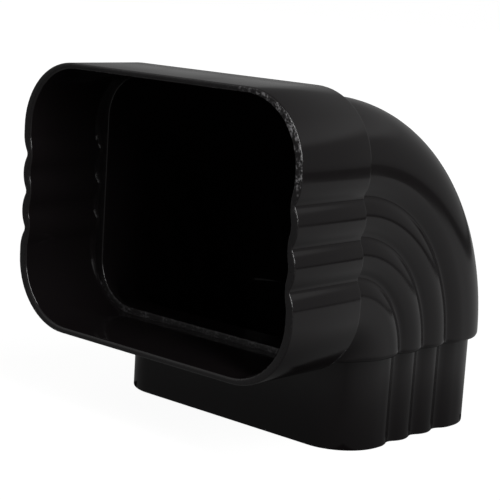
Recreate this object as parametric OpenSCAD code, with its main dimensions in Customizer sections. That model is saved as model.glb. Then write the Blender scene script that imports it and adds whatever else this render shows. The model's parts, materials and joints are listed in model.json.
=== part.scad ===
// Moulded downspout elbow, 3 x 4 inch class, in one piece.
// It stands on the rim of its spigot, with the mouth of its bell facing -Y.
// The origin is the centre of the spigot's open end, with +Z up.

/* [Bell] */
// Outer width of the bell, across the fluted sides
bell_w = 108; // [96:0.5:124]
// Outer height of the bell
bell_h = 78.8; // [74:0.2:90]
// How deep a pipe goes in before it meets the stop
socket_depth = 27.2; // [15:0.2:50]
// Outer radius of the bell's corners
bell_corner_r = 20; // [15:0.5:26]
// Wall of the bell at its flats and in the grooves between its flutes
bell_wall = 1.9; // [1.4:0.1:2.6]
// Length of the sloped lead-in at the mouth
lead_in = 1; // [0.5:0.1:2.5]
// How far the lead-in widens the mouth on each side
lead_in_w = 0.5; // [0.2:0.1:0.8]

/* [Flutes] */
// Distance between the grooves on each side
flute_pitch = 11.1; // [9:0.1:12]
// How deep the grooves are outside
flute_depth = 1.9; // [1:0.1:2.4]
// Radius of the flutes, and of the foot of each shoulder
flute_r = 9.8; // [9:0.1:10.2]
// Height above the outermost groove at which the shoulder turns straight
foot_rise = 5.9; // [5.4:0.1:7]
// How far the two middle flutes stand back from the corners
flute_setback = 0.27; // [0:0.01:0.6]
// How deep the matching hollows are inside
inner_flute = 0.8; // [0.5:0.1:1.2]

/* [Bend] */
// Step in from the bell to the bend on each side
side_step = 2.94; // [1.5:0.02:4]
// Step in from the top of the bell to the top of the bend
top_step = 2.6; // [1.5:0.1:4]
// Step up from the underside of the bell to the centre line that the bend turns about
heel_step = 3.4; // [3:0.1:4.5]
// How much of the foot of the bend's section is cut off at that centre line
heel_cut = 0.3; // [0.2:0.1:1]
// Wall of the bend
bend_wall = 1.5; // [1.2:0.1:2.6]
// Height of the duct's floor above the centre line at the heel
heel_wall = 1; // [0.8:0.1:2.4]
// Thickness of the floor at the sides of the spigot
floor_t = 2; // [1.5:0.1:3]

/* [Pipe stop] */
// Thickness of the stop at the back of the bell
stop_t = 1.4; // [1.2:0.1:3]
// How far the stop stands in from the hollows of the duct on each side
stop_lip = 1.5; // [1:0.1:6]
// How far it stands down from the roof of the duct
stop_drop = 0.2; // [0.1:0.1:4]
// Radius of the corners of its opening
stop_corner_r = 13.3; // [8:0.1:18]

/* [Spigot] */
// Outer width of the spigot, across the fluted sides
spigot_w = 94; // [84:0.5:98]
// Outer size of the spigot from front to back
spigot_d = 65.3; // [62:0.1:65.5]
// Length of the spigot below the bend
spigot_len = 27.1; // [20:0.1:50]
// Outer radius of the spigot's corners
spigot_corner_r = 14; // [11:0.5:18]
// Distance from the bend's centre line to the front of the spigot
spigot_setback = 6.8; // [5:0.1:7]
// Wall of the spigot
spigot_wall = 2; // [1.4:0.1:2.6]

/* [Hidden] */
$fn = 96;
cut = 1;
centre_y = -spigot_setback - spigot_d / 2;
centre_z = spigot_len;
bell_depth = socket_depth + stop_t;
mouth_y = centre_y - bell_depth;
stop_y = centre_y - stop_t;
bell_z = centre_z - heel_step + bell_h / 2;
bend_w = bell_w - 2 * side_step;
bend_top = centre_z + bell_h - heel_step - top_step;
bend_h = bend_top - centre_z + heel_cut;
bend_corner_r = bell_corner_r - side_step;
bend_z = bend_top - bend_h / 2;
duct_h = bend_top - bend_wall - centre_z - heel_wall;
duct_z = centre_z + heel_wall + duct_h / 2;
stop_w = inner_width(bend_w, bend_wall) - 2 * stop_lip;
throat_len = stop_t + spigot_setback + spigot_wall;

// Width inside a sleeve's hollows, a wall inside the grooves of its outer section.
function inner_width(w, wall) = w - 2 * (flute_depth + wall - inner_flute);

// A rounded rectangle, with true arcs at its corners.
module rounded_outline(w, h, r) {
    square([w - 2 * r, h], center = true);
    square([w, h - 2 * r], center = true);
    for (sx = [-1, 1], sz = [-1, 1])
        translate([sx * (w / 2 - r), sz * (h / 2 - r)]) circle(r);
}

// The elbow's section: flat top and bottom, and two flutes between round shoulders on each side.
// Each shoulder ends at the outermost groove in an arc like a flute's.
module fluted_outline(w, h, r, depth, setback, lobe_r) {
    shoulder_z = h / 2 - r;
    foot_z = min(shoulder_z, flute_pitch + foot_rise);
    square([w - 2 * r, h], center = true);
    square([w - 2 * depth, 2 * shoulder_z], center = true);
    for (sx = [-1, 1], sz = [-1, 1]) {
        translate([sx * (w / 2 - r), sz * shoulder_z]) circle(r);
        translate([sx * (w / 2 - lobe_r), sz * foot_z]) circle(lobe_r);
        if (foot_z < shoulder_z)
            translate([sx * (w / 2 - lobe_r / 2), sz * (shoulder_z + foot_z) / 2])
                square([lobe_r, shoulder_z - foot_z], center = true);
        translate([sx * (w / 2 - setback - lobe_r), sz * flute_pitch / 2]) circle(lobe_r);
    }
}

// Outer section of a sleeve.
module outer_outline(w, h, r)
    fluted_outline(w, h, r, flute_depth, flute_setback, flute_r);

// Inner section of the same sleeve, a wall inside its flats and grooves.
module inner_outline(w, h, r, wall)
    fluted_outline(inner_width(w, wall), h - 2 * wall, r - wall,
                   inner_flute, flute_setback, flute_r - wall);

// Extrudes a section towards the mouth, from the upright plane at y.
module along_y(y, length)
    translate([0, y, 0]) rotate([90, 0, 0]) linear_extrude(length) children();

// Turns an upright section through a quarter circle, from the bell down to the spigot.
module quarter_turn(section_z)
    translate([0, centre_y, centre_z]) rotate([0, -90, 0]) rotate_extrude(angle = 90)
        intersection() {
            translate([section_z - centre_z, 0]) rotate(-90) children();
            translate([0, -bell_w]) square([2 * bell_h, 2 * bell_w]);
        }

module bell_outside()
    along_y(centre_y, bell_depth) translate([0, bell_z]) outer_outline(bell_w, bell_h, bell_corner_r);

module bend_outside()
    quarter_turn(bend_z) outer_outline(bend_w, bend_h, bend_corner_r);

module spigot_outside()
    linear_extrude(spigot_len + floor_t / 2) outer_outline(spigot_w, spigot_d, spigot_corner_r);

// The pocket that takes the end of a pipe.
module socket()
    along_y(stop_y, socket_depth + cut) translate([0, bell_z])
        inner_outline(bell_w, bell_h, bell_corner_r, bell_wall);

// The slope that guides the pipe in. It runs on inwards until it has left the socket's walls,
// and its corners are rounder, so that it fades out round them.
module mouth_slope() {
    w = inner_width(bell_w, bell_wall);
    h = bell_h - 2 * bell_wall;
    r = bell_corner_r - bell_wall;
    run_in = lead_in * (1 + cut / lead_in_w);
    thin = 0.01;
    hull() {
        along_y(mouth_y, thin) translate([0, bell_z])
            rounded_outline(w + 2 * lead_in_w, h + 2 * lead_in_w, r + 2 * lead_in_w, $fn = 64);
        along_y(mouth_y + run_in, thin) translate([0, bell_z])
            rounded_outline(w - 2 * cut, h - 2 * cut, r - cut, $fn = 64);
    }
}

// The plain opening that leaves a ledge for the pipe to stop against,
// and the shallow channel that leads from it over the heel into the spigot.
module throat()
    intersection() {
        along_y(stop_y + throat_len, throat_len + cut) translate([0, duct_z - stop_drop / 2])
            rounded_outline(stop_w, duct_h - stop_drop, stop_corner_r);
        translate([-bell_w / 2, stop_y - 2 * cut, 0]) union() {
            cube([bell_w, stop_t + 3 * cut, 2 * bell_h]);
            cube([bell_w, bell_w, centre_z + floor_t + cut]);
        }
    }

// The duct through the bend, above the floor at the sides of the spigot.
module bend_duct()
    intersection() {
        quarter_turn(duct_z) inner_outline(bend_w, duct_h + 2 * bend_wall, bend_corner_r, bend_wall);
        translate([-bell_w / 2, centre_y, centre_z + floor_t]) cube([bell_w, 2 * bell_h, 2 * bell_h]);
    }

module spigot_duct()
    translate([0, 0, -cut]) linear_extrude(spigot_len + floor_t + 2 * cut)
        inner_outline(spigot_w, spigot_d, spigot_corner_r, spigot_wall);

module elbow() {
    color("#1b1a1c")
    difference() {
        union() {
            bell_outside();
            bend_outside();
            spigot_outside();
        }
        socket();
        mouth_slope();
        throat();
        bend_duct();
        spigot_duct();
    }
}

elbow();
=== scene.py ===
# %% [markdown]
# # A moulded downspout elbow
# This lesson dresses a one-piece plastic pipe fitting. A fluted bell takes the pipe from above,
# a quarter bend turns the water down, and a stepped-in spigot fits inside the next pipe.
# The imported model gives every place and size. Here the same form is modelled again with rounded
# edges, drafted walls and a trimmed rim with painted glints, and then gets its finish, its light and its camera.

# %% Load the imported model
import json
import math

import bmesh
import bpy
from mathutils import Matrix, Vector


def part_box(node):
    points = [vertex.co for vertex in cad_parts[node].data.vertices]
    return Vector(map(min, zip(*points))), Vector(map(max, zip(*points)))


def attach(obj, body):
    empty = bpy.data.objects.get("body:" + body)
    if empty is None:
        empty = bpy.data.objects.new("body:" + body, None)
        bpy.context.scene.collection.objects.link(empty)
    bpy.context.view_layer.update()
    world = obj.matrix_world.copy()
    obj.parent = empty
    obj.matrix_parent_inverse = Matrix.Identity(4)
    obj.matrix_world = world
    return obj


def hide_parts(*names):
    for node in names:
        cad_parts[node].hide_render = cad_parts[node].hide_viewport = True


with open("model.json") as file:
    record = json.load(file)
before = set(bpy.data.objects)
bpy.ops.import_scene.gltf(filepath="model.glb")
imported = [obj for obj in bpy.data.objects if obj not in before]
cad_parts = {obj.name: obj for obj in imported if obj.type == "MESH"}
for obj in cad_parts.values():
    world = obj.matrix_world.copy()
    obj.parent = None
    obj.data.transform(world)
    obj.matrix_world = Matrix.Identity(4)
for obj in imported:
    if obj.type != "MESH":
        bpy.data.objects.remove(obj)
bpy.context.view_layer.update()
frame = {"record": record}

# %% [markdown]
# ## The places that everything hangs on
# The fitting is measured from four places: the rim of the mouth, the ledge that stops the pipe,
# the line that the bend turns about, and the open end of the spigot, which is the origin.
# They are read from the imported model, so that the finished shell can't drift away from it.

# %% Read the main places from the frame
MM = 0.001
mounts = {mount["name"]: Vector(mount["pos_m"]) for mount in frame["record"]["mounts"]}
low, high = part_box("elbow")

STOP_THICK = 1.4 * MM
HEEL_STEP = 3.4 * MM
HEEL_WALL = 1.0 * MM

mouth_y = mounts["mouth_rim"].y
stop_y = mounts["pipe_stop"].y
bell_z = mounts["mouth_rim"].z
bell_half_h = high.z - bell_z
turn_y = stop_y + STOP_THICK
turn_z = bell_z - bell_half_h + HEEL_STEP
turn_r = high.y - turn_y
print(f"mouth {mouth_y:.5f}, stop {stop_y:.5f}, bend about y {turn_y:.5f} z {turn_z:.5f}, radius {turn_r:.5f}")

# %% [markdown]
# ## The section
# Every stretch of the fitting has the same kind of section: flat at the top and the bottom, with
# round shoulders and two slim flutes on each side. The flutes stiffen the wall and match the pipe's.
# A drawn outline could be traced point by point, but arcs say the same with a few sizes, and they
# stay true when a size changes. Each groove between two arcs gets a small fillet, because a mould
# can't leave a perfectly sharp valley. Every outline has the same number of points in the same
# order, so that one outline can later be pulled onto the next.

# %% Arcs and the meeting of two circles
FLUTE_PITCH, FOOT_RISE, SETBACK = 11.1 * MM, 5.9 * MM, 0.27 * MM
FLAT_STEPS, CORNER_STEPS, FOOT_STEPS, VALLEY_STEPS, FLUTE_STEPS = 6, 18, 8, 4, 14


def arc(centre, radius, start, stop, steps):
    """Points along an arc, from the start angle to the stop angle, without the last one."""
    angles = [start + (stop - start) * k / steps for k in range(steps)]
    return [(centre[0] + radius * math.cos(a), centre[1] + radius * math.sin(a)) for a in angles]


def angle_from(centre, point):
    """Direction of a point as seen from a centre."""
    return math.atan2(point[1] - centre[1], point[0] - centre[0])


def valley_centre(upper, lower, reach):
    """Centre of the valley's circle, at the same reach from two flutes and on their +X side."""
    dx, dz = lower[0] - upper[0], lower[1] - upper[1]
    gap = math.hypot(dx, dz)
    aside = math.sqrt(reach**2 - (gap / 2) ** 2) / gap
    return (upper[0] + lower[0]) / 2 - aside * dz, (upper[1] + lower[1]) / 2 + aside * dx


print("arc helpers ready")

# %% [markdown]
# The outline starts at the middle of the top and runs down the right side. Only the upper right
# quarter is worked out: the lower quarter and the left side are its mirror images. The radius of
# the valleys sets how deep they are, tight ones outside and wide, shallow ones inside. A plain
# outline has its points at the same shares of the height as a fluted one.

# %% The outline of a section
side_shares = []


def fluted_quarter(half_w, half_h, corner, flute_r, valley_r):
    """Upper right quarter of a fluted outline: flat, shoulder, foot, valley, flute, middle valley."""
    shoulder = (half_w - corner, half_h - corner)
    foot = (half_w - flute_r, FLUTE_PITCH + FOOT_RISE)
    flute = (half_w - SETBACK - flute_r, FLUTE_PITCH / 2)
    mirrored = (flute[0], -flute[1])
    upper = valley_centre(foot, flute, flute_r + valley_r)
    middle = valley_centre(flute, mirrored, flute_r + valley_r)
    foot_end, flute_start = angle_from(foot, upper), angle_from(flute, upper)
    flute_end = angle_from(flute, middle)
    points = [(shoulder[0] * k / FLAT_STEPS, half_h) for k in range(FLAT_STEPS)]
    points += arc(shoulder, corner, math.pi / 2, 0.0, CORNER_STEPS) + [(half_w, shoulder[1])]
    points += arc(foot, flute_r, 0.0, foot_end, FOOT_STEPS)
    points += arc(upper, valley_r, foot_end + math.pi, flute_start + math.pi, VALLEY_STEPS)
    points += arc(flute, flute_r, flute_start, flute_end, FLUTE_STEPS)
    points += arc(middle, valley_r, flute_end + math.pi, math.pi, VALLEY_STEPS // 2)
    return points + [(middle[0] - valley_r, 0.0)]


def plain_quarter(half_w, half_h, corner):
    """Upper right quarter of a plain outline with rounded corners."""
    shoulder = (half_w - corner, half_h - corner)
    points = [(shoulder[0] * k / FLAT_STEPS, half_h) for k in range(FLAT_STEPS)]
    points += arc(shoulder, corner, math.pi / 2, 0.0, CORNER_STEPS)
    return points + [(half_w, shoulder[1] * share) for share in side_shares]


def outline(upper):
    """Closed outline of (across, up) points, clockwise from the middle of the top."""
    right = upper + [(x, -z) for x, z in reversed(upper[:-1])]
    return right + [(-x, z) for x, z in reversed(right[1:-1])]


print("outline helpers ready")

# %% [markdown]
# ## The sizes of each stretch
# The socket narrows a little on its way in, so that the pipe slides in easily and the core of the
# mould can be drawn. The bend's section is the bell's with a step taken off each side, and its foot
# is cut off at the line that the bend turns about, so that the turn closes there.

# %% Outlines of the outer skin
FLUTE_R, VALLEY_R = 9.6 * MM, 1.7 * MM
SPIGOT_FLUTE_R, SPIGOT_VALLEY_R = 8.0 * MM, 3.5 * MM
BELL_CORNER = 20.0 * MM
SIDE_STEP, HEEL_CUT = 2.94 * MM, 0.3 * MM
SPIGOT_HALF_W, SPIGOT_HALF_D, SPIGOT_CORNER = 47.0 * MM, 32.65 * MM, 14.0 * MM

bell_half_w = high.x
bend_half_h = (turn_r + HEEL_CUT) / 2
quarter_points = fluted_quarter(bell_half_w, bell_half_h, BELL_CORNER, FLUTE_R, VALLEY_R)
bell_outer = outline(quarter_points)
bend_outer = outline(
    fluted_quarter(bell_half_w - SIDE_STEP, bend_half_h, BELL_CORNER - SIDE_STEP, FLUTE_R, VALLEY_R)
)
spigot_outer = outline(
    fluted_quarter(SPIGOT_HALF_W, SPIGOT_HALF_D, SPIGOT_CORNER, SPIGOT_FLUTE_R, SPIGOT_VALLEY_R)
)

side_points = quarter_points[FLAT_STEPS + CORNER_STEPS :]
side_shares = [z / side_points[0][1] for x, z in side_points]
print(len(bell_outer), "points in an outline,", len(side_shares), "of them down each quarter's side")

# %% Outlines of the inner skin
MOUTH_HALF_W, MOUTH_HALF_H, MOUTH_CORNER, MOUTH_VALLEY = 51.2 * MM, 37.6 * MM, 18.1 * MM, 15.0 * MM
DEEP_HALF_W, DEEP_HALF_H, DEEP_CORNER, DEEP_VALLEY = 50.2 * MM, 36.7 * MM, 17.6 * MM, 6.0 * MM
STOP_HALF_W, STOP_HALF_H, STOP_CORNER = 46.96 * MM, 35.05 * MM, 13.3 * MM
BEND_WALL, SPIGOT_WALL, DUCT_VALLEY, DUCT_CREST = 1.5 * MM, 2.0 * MM, 12.0 * MM, 1.1 * MM
INNER_FLUTE_R = 7.9 * MM

duct_half_w, duct_half_h = bell_half_w - SIDE_STEP - DUCT_CREST - BEND_WALL, (turn_r - BEND_WALL - HEEL_WALL) / 2
drain_half_w, drain_half_d = SPIGOT_HALF_W - DUCT_CREST - SPIGOT_WALL, SPIGOT_HALF_D - SPIGOT_WALL
duct_corner, drain_corner = BELL_CORNER - SIDE_STEP - BEND_WALL, SPIGOT_CORNER - SPIGOT_WALL
mouth_inner = outline(
    fluted_quarter(MOUTH_HALF_W, MOUTH_HALF_H, MOUTH_CORNER, INNER_FLUTE_R, MOUTH_VALLEY)
)
socket_end = outline(fluted_quarter(DEEP_HALF_W, DEEP_HALF_H, DEEP_CORNER, INNER_FLUTE_R, DEEP_VALLEY))
stop_inner = outline(plain_quarter(STOP_HALF_W, STOP_HALF_H, STOP_CORNER))
duct_inner = outline(fluted_quarter(duct_half_w, duct_half_h, duct_corner, INNER_FLUTE_R, DUCT_VALLEY))
spigot_inner = outline(
    fluted_quarter(drain_half_w, drain_half_d, drain_corner, INNER_FLUTE_R, DUCT_VALLEY)
)
print("inner skin outlines ready")

# %% [markdown]
# ## One ring pulled through the whole fitting
# The shell could be made as separate tubes that are joined later, but then every join has to be
# matched and welded. Here a single ring of edges starts at the rim of the mouth. It is extruded
# from one outline to the next, back along the bell, in over the step, round the bend with the spin
# operator and down the spigot. At the spigot's rim it turns round and comes back up the inside,
# so the wall gets its true thickness everywhere. A number on each point keeps the order of the
# ring, and the extrude and spin operators copy it along.

# %% Helpers that pull a ring
def upright(points, y, z):
    """Places an outline on the upright plane at y, with its middle at height z."""
    return [Vector((across, y, z + up)) for across, up in points]


def level(points, z, y):
    """Places an outline on the level plane at z, with its middle at y and its top away from the mouth."""
    return [Vector((across, y + up, z)) for across, up in points]


def in_order(geometry, order):
    """The points and edges of a new ring, the points sorted by their place in it."""
    verts = sorted((g for g in geometry if isinstance(g, bmesh.types.BMVert)), key=lambda v: v[order])
    members = set(verts)
    edges = [e for e in geometry if isinstance(e, bmesh.types.BMEdge) and members.issuperset(e.verts)]
    return verts, edges


def pull(bm, order, edges, places):
    """Extrudes a ring of edges and moves the new ring onto the given places."""
    made = bmesh.ops.extrude_edge_only(bm, edges=edges)["geom"]
    verts, edges = in_order(made, order)
    for vert, place in zip(verts, places):
        vert.co = place
    return verts, edges


def turn(bm, order, ring, centre, angle, steps):
    """Spins a ring about a line along X."""
    made = bmesh.ops.spin(
        bm, geom=ring[0] + ring[1], cent=centre, axis=(1, 0, 0), dvec=(0, 0, 0), angle=angle, steps=steps
    )["geom_last"]
    return in_order(made, order)


print("ring helpers ready")

# %% Build the outer skin, from the mouth to the end of the spigot
BEND_STEPS, LAST_STEPS, LAST_ANGLE = 56, 10, math.radians(6)

bm = bmesh.new()
order = bm.verts.layers.int.new("ring_order")
start = [bm.verts.new(place) for place in upright(bell_outer, mouth_y, bell_z)]
for number, vert in enumerate(start):
    vert[order] = number
mouth_outer_edges = [bm.edges.new((a, b)) for a, b in zip(start, start[1:] + start[:1])]

bell_back, bell_back_edges = pull(bm, order, mouth_outer_edges, upright(bell_outer, turn_y, bell_z))
bend_start = upright(bend_outer, turn_y, turn_z + turn_r - bend_half_h)
for place in bend_start:
    place.z = max(place.z, turn_z)
ring = pull(bm, order, bell_back_edges, bend_start)
before_turn = set(bm.verts)
turn_line = (0.0, turn_y, turn_z)
ring = turn(bm, order, ring, turn_line, LAST_ANGLE - math.pi / 2, BEND_STEPS)
ring = turn(bm, order, ring, turn_line, -LAST_ANGLE, LAST_STEPS)
turned = [v for v in bm.verts if v not in before_turn]
bend_foot = ring[0]
print("the bend ends at", [round(c, 5) for c in bend_foot[0].co], "with", len(turned), "points turned")

spigot_top, spigot_top_edges = pull(bm, order, ring[1], level(spigot_outer, turn_z, 0.0))
outlet, outlet_edges = pull(bm, order, spigot_top_edges, level(spigot_outer, 0.0, 0.0))

# %% Build the inner skin, back up to the mouth
floor_z = turn_z + HEEL_WALL
inner_outlet, inner_outlet_edges = pull(bm, order, outlet_edges, level(spigot_inner, 0.0, 0.0))
ring = pull(bm, order, inner_outlet_edges, level(spigot_inner, floor_z, 0.0))
ring = pull(bm, order, ring[1], level(duct_inner, floor_z, turn_y + duct_half_h))
ring = turn(bm, order, ring, (0.0, turn_y, floor_z), math.pi / 2, BEND_STEPS)
print("the duct comes back to", [round(c, 5) for c in ring[0][0].co])
stop_middle = floor_z + STOP_HALF_H
stop_back, stop_back_edges = pull(bm, order, ring[1], upright(stop_inner, turn_y, stop_middle))
stop_front, stop_front_edges = pull(bm, order, stop_back_edges, upright(stop_inner, stop_y, stop_middle))
ring = pull(bm, order, stop_front_edges, upright(socket_end, stop_y, bell_z))
mouth_inner_ring, mouth_inner_edges = pull(bm, order, ring[1], upright(mouth_inner, mouth_y, bell_z))
bmesh.ops.bridge_loops(bm, edges=mouth_outer_edges + mouth_inner_edges)
print("faces:", len(bm.faces))

# %% [markdown]
# ## Closing the heel and rounding the edges
# At the heel many turned points share one place on the turning line, so they are merged. The
# underside of the bend is rounded where it overhangs the spigot. The rounding fades out where the
# spigot's wall is nearly flush, and towards the heel, where there is no edge. The other edges are
# whole rings, so the bevel operator rounds them: the rims only slightly, the back of the bell more.

# %% Round the foot of the bend
FOOT_ROUND, HEEL_FADE = 1.8 * MM, 8.0 * MM
bmesh.ops.recalc_face_normals(bm, faces=bm.faces)
steps_to_spigot = [(a.co - b.co).length for a, b in zip(bend_foot, spigot_top)]
moves = []
for vert in turned:
    height = max(vert.co.z - turn_z, 0.0)
    reach = math.hypot(vert.co.y - turn_y, height)
    radius = min(FOOT_ROUND, steps_to_spigot[vert[order]]) * min(1.0, reach / HEEL_FADE)
    if height < radius:
        outwards = Vector((vert.normal.x, vert.normal.y, 0.0)).normalized()
        inwards = radius - math.sqrt(radius**2 - (radius - height) ** 2)
        moves.append((vert, outwards * -inwards))
for vert, move in moves:
    vert.co += move
print("points moved at the foot:", len(moves))

# %% Bevel the rims and the back of the bell, and merge the heel
def soften(edges, width, segments):
    """Rounds whole rings of edges."""
    bmesh.ops.bevel(
        bm, geom=edges, offset=width, offset_type="OFFSET", segments=segments, profile=0.5,
        affect="EDGES", clamp_overlap=True, material=-1,
    )


RIM_ROUND, LEAD_ROUND, BACK_ROUND, STOP_ROUND = 0.5 * MM, 0.8 * MM, 1.0 * MM, 0.4 * MM
soften(bell_back_edges, BACK_ROUND, 4)
soften(mouth_outer_edges, RIM_ROUND, 3)
soften(mouth_inner_edges, LEAD_ROUND, 4)
soften(outlet_edges + inner_outlet_edges, RIM_ROUND, 3)
soften(stop_front_edges, STOP_ROUND, 3)
merged = len(bm.verts)
bmesh.ops.remove_doubles(bm, verts=bm.verts, dist=0.002 * MM)
bmesh.ops.dissolve_degenerate(bm, edges=bm.edges, dist=0.001 * MM)
bmesh.ops.recalc_face_normals(bm, faces=bm.faces)
open_edges = sum(1 for e in bm.edges if len(e.link_faces) != 2)
print("merged", merged - len(bm.verts), "points, open edges:", open_edges, "volume mm3:", bm.calc_volume() / MM**3)

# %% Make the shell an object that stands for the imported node
mesh = bpy.data.meshes.new("elbow_shell")
bm.to_mesh(mesh)
bm.free()
mesh.shade_smooth()
mesh.set_sharp_from_angle(angle=math.radians(32))
shell = bpy.data.objects.new("elbow_shell", mesh)
bpy.context.scene.collection.objects.link(shell)
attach(shell, "root")
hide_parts("elbow")
print("shell:", len(mesh.polygons), "faces", [round(d * 1000, 2) for d in shell.dimensions])

# %% [markdown]
# ## The finish
# The fitting is moulded in black vinyl. Its skin is smooth and copies every small wave of the
# mould, so a reflected edge wanders a little, and the gloss is slightly uneven. Black plastic shows
# almost nothing of its own colour: what is seen is mostly the room, reflected weakly on surfaces
# that face the eye and strongly on those seen at a low angle, which the Principled shader does from
# its IOR. An image could carry the marks, but noise on Object coordinates has no seams and keeps its
# true size. The rim of the mouth is different: it was trimmed after moulding, so it is rough and a
# little paler. Pale flecks are painted on its upper right as the highlight where the lamp catches it.

# %% Node helpers
def node(tree, kind, **settings):
    """Adds a node; named settings are attributes, and a dictionary called inputs sets sockets."""
    made = tree.nodes.new(kind)
    for name, value in settings.pop("inputs", {}).items():
        made.inputs[name].default_value = value
    for name, value in settings.items():
        setattr(made, name, value)
    return made


def math_node(tree, operation, a, b=None, clamp=False):
    """Adds one step of arithmetic on sockets or numbers, and returns its output."""
    made = node(tree, "ShaderNodeMath", operation=operation, use_clamp=clamp)
    for socket, value in zip(made.inputs, (a, b)):
        if isinstance(value, (int, float)):
            socket.default_value = value
        elif value is not None:
            tree.links.new(value, socket)
    return made.outputs["Value"]


def smooth_step(tree, value, low_end, high_end):
    """A mask that rises smoothly from 0 to 1 between two values."""
    made = node(tree, "ShaderNodeMapRange", interpolation_type="SMOOTHSTEP")
    made.inputs["From Min"].default_value = low_end
    made.inputs["From Max"].default_value = high_end
    tree.links.new(value, made.inputs["Value"])
    return made.outputs["Result"]


def new_group(name, inputs, outputs):
    """Starts a shader node group with named float or vector sockets."""
    tree = bpy.data.node_groups.new(name, "ShaderNodeTree")
    for socket_name, socket_type in inputs.items():
        tree.interface.new_socket(name=socket_name, in_out="INPUT", socket_type=socket_type)
    for socket_name, socket_type in outputs.items():
        tree.interface.new_socket(name=socket_name, in_out="OUTPUT", socket_type=socket_type)
    return tree, tree.nodes.new("NodeGroupInput"), tree.nodes.new("NodeGroupOutput")


def noise(tree, place, cycles_per_metre, detail=2.0, roughness=0.5):
    """Noise of a real size at a place."""
    made = node(tree, "ShaderNodeTexNoise")
    made.inputs["Scale"].default_value = cycles_per_metre
    made.inputs["Detail"].default_value = detail
    made.inputs["Roughness"].default_value = roughness
    tree.links.new(place, made.inputs["Vector"])
    return made.outputs["Fac"]


FLOAT, VECTOR = "NodeSocketFloat", "NodeSocketVector"
print("node helpers ready")

# %% [markdown]
# The first group is the moulded skin. A slow wave some 25 mm long bends the reflections, and a fine
# one of about a millimetre is the texture that the polished mould left. Where the flow of the
# plastic or a hand has dulled it, the gloss drops in soft, drawn-out patches.

# %% The moulded skin, as a group
def moulded_skin():
    """Height and dullness of smooth moulded vinyl."""
    tree, source, result = new_group(
        "moulded_skin", {"Place": VECTOR, "Wave": FLOAT, "Fine": FLOAT}, {"Height": FLOAT, "Dullness": FLOAT}
    )
    place = source.outputs["Place"]
    slow = math_node(tree, "MULTIPLY", noise(tree, place, 40.0, 1.0), source.outputs["Wave"])
    fine = math_node(tree, "MULTIPLY", noise(tree, place, 900.0, 2.0), source.outputs["Fine"])
    tree.links.new(math_node(tree, "ADD", slow, fine), result.inputs["Height"])
    drawn = node(tree, "ShaderNodeMapping")
    drawn.inputs["Scale"].default_value = (1.0, 0.3, 1.0)
    tree.links.new(place, drawn.inputs["Vector"])
    patches = smooth_step(tree, noise(tree, drawn.outputs["Vector"], 70.0, 4.0), 0.45, 0.75)
    tree.links.new(patches, result.inputs["Dullness"])
    return tree


skin_group = moulded_skin()
print("group:", skin_group.name, [item.name for item in skin_group.interface.items_tree])

# %% [markdown]
# The second group finds the trimmed rim: everything within a fraction of a millimetre of the plane
# of the mouth. It gives a mask and the torn surface that the cutter left, which is much coarser
# than the skin. The same group would serve any part with a cut end.

# %% The trimmed rim, as a group
def cut_end():
    """Mask of a cut end at a plane across Y, and the height and sparkle of its torn surface."""
    tree, source, result = new_group(
        "cut_end",
        {"Place": VECTOR, "Plane": FLOAT, "Depth": FLOAT},
        {"Mask": FLOAT, "Height": FLOAT, "Torn": FLOAT},
    )
    place = source.outputs["Place"]
    parts = node(tree, "ShaderNodeSeparateXYZ")
    tree.links.new(place, parts.inputs["Vector"])
    depth = math_node(tree, "SUBTRACT", parts.outputs["Y"], source.outputs["Plane"])
    ragged = math_node(tree, "MULTIPLY", noise(tree, place, 1600.0, 3.0), 0.0005)
    share = math_node(tree, "DIVIDE", math_node(tree, "ADD", depth, ragged), source.outputs["Depth"])
    tree.links.new(math_node(tree, "SUBTRACT", 1.0, smooth_step(tree, share, 0.6, 1.1)), result.inputs["Mask"])
    grain = noise(tree, place, 2600.0, 4.0, 0.7)
    tree.links.new(grain, result.inputs["Height"])
    torn = smooth_step(tree, noise(tree, place, 1400.0, 4.0, 0.6), 0.46, 0.62)
    patches = smooth_step(tree, noise(tree, place, 480.0, 2.0), 0.36, 0.60)
    tree.links.new(math_node(tree, "MULTIPLY", torn, patches), result.inputs["Torn"])
    return tree


cut_group = cut_end()
print("group:", cut_group.name, [item.name for item in cut_group.interface.items_tree])

# %% [markdown]
# The material puts the two groups together. Pale flecks in the torn pattern of the cut are painted
# highlights. They are strongest on the upper right of the mouth, where the lamp catches the rim, and
# faint along the bottom of the ledge, where they stand for the glint of its edge.

# %% Black vinyl
VINYL_COLOUR, RIM_COLOUR, GLINT_FLECK_COLOUR = (0.0075, 0.0062, 0.0066, 1), (0.009, 0.0078, 0.0083, 1), (0.42, 0.41, 0.42, 1)
SKIN_ROUGHNESS, DULL_ROUGHNESS, RIM_ROUGHNESS = 0.13, 0.22, 0.36
WAVE_HEIGHT, FINE_HEIGHT, RIM_HEIGHT = 0.03 * MM, 0.0015 * MM, 0.08 * MM
RIM_DEPTH, LEDGE_ROUGH_AND_GLINT_REACH, LEDGE_GLINT_SHARE = 0.4 * MM, 0.3 * MM, 0.2


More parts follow.
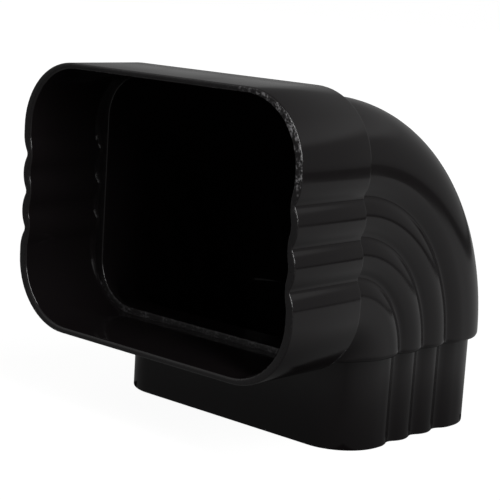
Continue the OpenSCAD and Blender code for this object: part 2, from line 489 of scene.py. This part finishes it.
def black_vinyl():
    """Moulded black vinyl with a trimmed rim at the mouth."""
    material = bpy.data.materials.new("black_vinyl")
    material.use_nodes = True
    tree = material.node_tree
    surface = tree.nodes["Principled BSDF"]
    place = node(tree, "ShaderNodeTexCoord").outputs["Object"]
    skin = node(tree, "ShaderNodeGroup", node_tree=skin_group)
    skin.inputs["Wave"].default_value = WAVE_HEIGHT
    skin.inputs["Fine"].default_value = FINE_HEIGHT
    cut = node(tree, "ShaderNodeGroup", node_tree=cut_group)
    cut.inputs["Plane"].default_value = mouth_y
    cut.inputs["Depth"].default_value = RIM_DEPTH
    tree.links.new(place, skin.inputs["Place"])
    tree.links.new(place, cut.inputs["Place"])
    mask, torn = cut.outputs["Mask"], cut.outputs["Torn"]

    parts = node(tree, "ShaderNodeSeparateXYZ")
    tree.links.new(place, parts.inputs["Vector"])
    # Painted highlight: the pale flecks are strongest on the upper right of the rim, where the lamp catches it.
    right_side = smooth_step(tree, parts.outputs["X"], bell_half_w - 30 * MM, bell_half_w - 7 * MM)
    upper_part = smooth_step(tree, parts.outputs["Z"], bell_z + 8 * MM, bell_z + 22 * MM)
    upper_right_glints = math_node(tree, "MULTIPLY", math_node(tree, "MULTIPLY", right_side, upper_part), mask)
    # Painted highlight: a band along the bottom of the ledge gets the rim's paler colour and a fifth of the pale
    # flecks, as the glint of the ledge's edge. The band is also rough.
    from_ledge = math_node(tree, "ABSOLUTE", math_node(tree, "SUBTRACT", parts.outputs["Y"], stop_y))
    from_side = math_node(tree, "SUBTRACT", math_node(tree, "ABSOLUTE", parts.outputs["X"]), DEEP_HALF_W)
    height = math_node(tree, "ABSOLUTE", math_node(tree, "SUBTRACT", parts.outputs["Z"], bell_z))
    outside = math_node(tree, "MAXIMUM", from_side, math_node(tree, "SUBTRACT", height, DEEP_HALF_H))
    beyond = math_node(tree, "MAXIMUM", outside, from_ledge)
    near_ledge = math_node(tree, "SUBTRACT", 1.0, smooth_step(tree, beyond, LEDGE_ROUGH_AND_GLINT_REACH, 2 * LEDGE_ROUGH_AND_GLINT_REACH))
    below = math_node(tree, "SUBTRACT", bell_z - 26 * MM, parts.outputs["Z"])
    ledge = math_node(tree, "MULTIPLY", near_ledge, smooth_step(tree, below, 0.0, 8 * MM))
    rough = math_node(tree, "MAXIMUM", mask, ledge)
    # The painted glints: pale flecks in the torn pattern, on the upper right of the rim and fainter along the ledge.
    painted_glints = math_node(tree, "MULTIPLY", math_node(tree, "MAXIMUM", upper_right_glints, math_node(tree, "MULTIPLY", ledge, LEDGE_GLINT_SHARE)), torn)

    rim_mix = node(tree, "ShaderNodeMix", data_type="RGBA")
    rim_mix.inputs["A"].default_value = VINYL_COLOUR
    rim_mix.inputs["B"].default_value = RIM_COLOUR
    tree.links.new(rough, rim_mix.inputs["Factor"])
    glint_mix = node(tree, "ShaderNodeMix", data_type="RGBA")
    glint_mix.inputs["B"].default_value = GLINT_FLECK_COLOUR
    tree.links.new(rim_mix.outputs["Result"], glint_mix.inputs["A"])
    tree.links.new(painted_glints, glint_mix.inputs["Factor"])
    tree.links.new(glint_mix.outputs["Result"], surface.inputs["Base Color"])

    skin_gloss = math_node(
        tree, "ADD", math_node(tree, "MULTIPLY", skin.outputs["Dullness"], DULL_ROUGHNESS - SKIN_ROUGHNESS), SKIN_ROUGHNESS
    )
    rim_gloss = math_node(tree, "MULTIPLY", rough, RIM_ROUGHNESS - SKIN_ROUGHNESS)
    tree.links.new(math_node(tree, "ADD", skin_gloss, rim_gloss), surface.inputs["Roughness"])

    rim_height = math_node(tree, "MULTIPLY", math_node(tree, "MULTIPLY", cut.outputs["Height"], rough), RIM_HEIGHT)
    bump = node(tree, "ShaderNodeBump")
    bump.inputs["Strength"].default_value = 1.0
    bump.inputs["Distance"].default_value = 1.0
    tree.links.new(math_node(tree, "ADD", skin.outputs["Height"], rim_height), bump.inputs["Height"])
    tree.links.new(bump.outputs["Normal"], surface.inputs["Normal"])
    surface.inputs["IOR"].default_value = 1.5
    return material


vinyl = black_vinyl()
mesh.materials.append(vinyl)
print("material:", vinyl.name, len(vinyl.node_tree.nodes), "nodes")

# %% [markdown]
# ## The camera
# The camera stands to the front right, a little above the fitting, and is turned very slightly
# about its own axis. Its place and turn were solved from the straight edges of the mouth and the
# spigot, so that the near rim spreads as it does to the eye at that distance. The lens is long,
# because a short one would stretch the near corner.

# %% Place the camera
CAMERA_SPOT = Vector((307.8, -370.25, 133.7)) * MM
AZIMUTH, ELEVATION, ROLL = math.radians(41.747), math.radians(10.238), math.radians(3.623)
LENS = 114.5
back = Vector(
    (math.sin(AZIMUTH) * math.cos(ELEVATION), -math.cos(AZIMUTH) * math.cos(ELEVATION), math.sin(ELEVATION))
)
level_right = Vector((math.cos(AZIMUTH), math.sin(AZIMUTH), 0.0))
level_up = back.cross(level_right)
right = math.cos(ROLL) * level_right + math.sin(ROLL) * level_up
up = back.cross(right)
camera_data = bpy.data.cameras.new("camera")
camera_data.lens = LENS
camera_data.sensor_width = 36.0
camera_data.clip_start = 0.01
camera = bpy.data.objects.new("camera", camera_data)
camera.matrix_world = Matrix.Translation(CAMERA_SPOT) @ Matrix((right, up, back)).transposed().to_4x4()
bpy.context.scene.collection.objects.link(camera)
bpy.context.scene.camera = camera
print("camera at", [round(c, 4) for c in camera.location])

# %% [markdown]
# ## The light
# A black, glossy thing is lit by what it reflects, so the studio is built for its reflections. The
# flanks show the table to the right, then a dark gap at its far edge, then a wall that is bright
# from some height on. The top shows the wall behind at a low angle. The front shows the dark side
# of the room. One soft lamp, high in front, lights the rims and the inside and throws the shadow.
# What the camera sees directly is plain white paper and a white room.

# %% The world, bright above and dim at the horizon
TABLE_WAY = (0.66, 0.75)
HORIZON = ((0.30, 0.22), (0.47, 0.2), (0.525, 0.22), (0.775, 0.23), (0.90, 0.205), (1.0, 0.19))
WALL = ((0.20, 0.42), (0.47, 0.12), (0.56, 0.12), (0.62, 0.13), (0.72, 0.2), (0.835, 0.29), (0.935, 0.43))
WALL_FROM, WALL_TO = 0.33, 0.45


def along_table(tree, place):
    """How far a place or a direction lies towards the table's far edge."""
    parts = node(tree, "ShaderNodeSeparateXYZ")
    tree.links.new(place, parts.inputs["Vector"])
    across = math_node(tree, "MULTIPLY", parts.outputs["X"], TABLE_WAY[0])
    away = math_node(tree, "MULTIPLY", parts.outputs["Y"], TABLE_WAY[1])
    return math_node(tree, "ADD", across, away), parts.outputs["Z"]


def grey_ramp(tree, value, stops):
    """Grey levels at the given shares of a value, joined by straight lines."""
    made = node(tree, "ShaderNodeValToRGB")
    steps = made.color_ramp.elements
    while len(steps) < len(stops):
        steps.new(0.5)
    for step, (share, grey) in zip(steps, stops):
        step.position = share
        step.color = (grey, grey, grey, 1)
    tree.links.new(value, made.inputs["Fac"])
    return made.outputs["Color"]


scene = bpy.context.scene
scene.view_settings.view_transform = "Standard"
world = bpy.data.worlds.new("studio")
scene.world = world
world.use_nodes = True
tree = world.node_tree
way, height = along_table(tree, node(tree, "ShaderNodeTexCoord").outputs["Generated"])
half_way = math_node(tree, "MULTIPLY", math_node(tree, "ADD", way, 1.0), 0.5)
room = node(tree, "ShaderNodeMix", data_type="RGBA")
tree.links.new(grey_ramp(tree, half_way, HORIZON), room.inputs["A"])
tree.links.new(grey_ramp(tree, half_way, WALL), room.inputs["B"])
tree.links.new(smooth_step(tree, height, WALL_FROM, WALL_TO), room.inputs["Factor"])
seen = node(tree, "ShaderNodeMix", data_type="RGBA")
seen.inputs["B"].default_value = (1, 1, 1, 1)
tree.links.new(node(tree, "ShaderNodeLightPath").outputs["Is Camera Ray"], seen.inputs["Factor"])
tree.links.new(room.outputs["Result"], seen.inputs["A"])
tree.links.new(seen.outputs["Result"], tree.nodes["Background"].inputs["Color"])
print("world ready")

# %% The table
# The camera sees the paper, glowing nearly white and lit by the lamp, so it keeps the fitting's shadow. What the
# fitting reflects is a painted glow instead: pale and dark stretches across the table, with painted shade near the
# spigot.
TABLE_SIZE = 3.0
TABLE_GLOW_STOPS = ((0.0, 0.07), (0.10, 0.08), (0.16, 0.15), (0.22, 0.15), (0.25, 0.12), (0.30, 0.3), (0.49, 0.33), (0.495, 0.045), (0.70, 0.045), (0.80, 0.17))
CONTACT_SHADOW_GREY, CONTACT_SHADOW_REACH = 0.55, 0.06
PAPER_GREY, PAPER_GLOW = 0.2, 0.94

bm = bmesh.new()
bmesh.ops.create_grid(bm, x_segments=1, y_segments=1, size=TABLE_SIZE)
floor_mesh = bpy.data.meshes.new("floor")
bm.to_mesh(floor_mesh)
bm.free()
floor = bpy.data.objects.new("floor", floor_mesh)
scene.collection.objects.link(floor)

paper = bpy.data.materials.new("white_paper")
paper.use_nodes = True
tree = paper.node_tree
sheet = tree.nodes["Principled BSDF"]
sheet.inputs["Base Color"].default_value = (PAPER_GREY, PAPER_GREY, PAPER_GREY, 1)
sheet.inputs["Roughness"].default_value = 0.9
sheet.inputs["Specular IOR Level"].default_value = 0.0
sheet.inputs["Emission Color"].default_value = (1, 1, 1, 1)
place = node(tree, "ShaderNodeTexCoord").outputs["Object"]
reach = node(tree, "ShaderNodeVectorMath", operation="LENGTH")
tree.links.new(place, reach.inputs[0])
far = smooth_step(tree, reach.outputs["Value"], 0.25, 0.8)
glow = math_node(tree, "ADD", math_node(tree, "MULTIPLY", far, 1.0 - PAPER_GLOW), PAPER_GLOW)
tree.links.new(glow, sheet.inputs["Emission Strength"])
way, height = along_table(tree, place)
table_share = math_node(tree, "MULTIPLY", math_node(tree, "ADD", way, 0.5), 0.5, clamp=True)
# Painted light: for every ray but the camera's, the table is a glow in pale and dark stretches.
painted_table_glow = node(tree, "ShaderNodeEmission")
tree.links.new(grey_ramp(tree, table_share, TABLE_GLOW_STOPS), painted_table_glow.inputs["Color"])
parts = node(tree, "ShaderNodeSeparateXYZ")
tree.links.new(place, parts.inputs["Vector"])
# Painted shadow: the glow darkens close to the spigot's foot and goes out under the spigot.
beside_x = math_node(tree, "SUBTRACT", math_node(tree, "ABSOLUTE", parts.outputs["X"]), SPIGOT_HALF_W)
beside_y = math_node(tree, "SUBTRACT", math_node(tree, "ABSOLUTE", parts.outputs["Y"]), SPIGOT_HALF_D)
beside = math_node(tree, "MAXIMUM", beside_x, beside_y)
fading = smooth_step(tree, beside, 0.0, CONTACT_SHADOW_REACH)
contact_shadow = math_node(tree, "ADD", math_node(tree, "MULTIPLY", fading, 1.0 - CONTACT_SHADOW_GREY), CONTACT_SHADOW_GREY)
outside = smooth_step(tree, beside, -2.0 * MM, -1.0 * MM)
tree.links.new(math_node(tree, "MULTIPLY", contact_shadow, outside), painted_table_glow.inputs["Strength"])
choice = node(tree, "ShaderNodeMixShader")
tree.links.new(node(tree, "ShaderNodeLightPath").outputs["Is Camera Ray"], choice.inputs["Fac"])
tree.links.new(painted_table_glow.outputs["Emission"], choice.inputs[1])
tree.links.new(sheet.outputs["BSDF"], choice.inputs[2])
tree.links.new(choice.outputs["Shader"], tree.nodes["Material Output"].inputs["Surface"])
floor_mesh.materials.append(paper)
print("table ready")

# %% The lamp
LAMP_SPOT, LAMP_WIDTH, LAMP_HEIGHT, LAMP_POWER = Vector((0.84, -0.36, 0.78)), 0.16, 1.4, 9.0

lamp_data = bpy.data.lights.new("key", "AREA")
lamp_data.shape = "RECTANGLE"
lamp_data.size, lamp_data.size_y = LAMP_WIDTH, LAMP_HEIGHT
lamp_data.energy = LAMP_POWER
lamp = bpy.data.objects.new("key", lamp_data)
lamp.matrix_world = Matrix.Translation(LAMP_SPOT) @ LAMP_SPOT.to_track_quat("Z", "Y").to_matrix().to_4x4()
scene.collection.objects.link(lamp)
print("lamp", LAMP_POWER, "W at", list(LAMP_SPOT))
